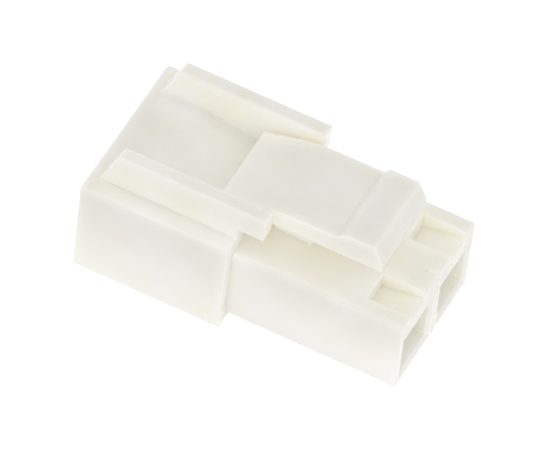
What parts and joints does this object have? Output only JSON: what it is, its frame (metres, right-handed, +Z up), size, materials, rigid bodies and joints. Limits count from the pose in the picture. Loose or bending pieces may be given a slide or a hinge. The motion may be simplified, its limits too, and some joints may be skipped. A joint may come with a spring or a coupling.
{
  "type": "wire to board connector housing",
  "caption": "Moulded wire-to-board connector housing: wider mating head, guide rails, seesaw latch lever and side-by-side contact cavities.",
  "frame": {"origin": "centre of the footprint, on the surface that the underside of the head rests on", "axes": "+X along the length towards the wire end, +Y across the circuits, +Z up to the lever side"},
  "size_m": [0.017, 0.0092, 0.0077],
  "materials": {
    "natural_nylon": "satin moulded surface, slightly translucent ivory white"
  },
  "bodies": {
    "root": {"housing": "natural_nylon"}
  },
  "joints": []
}
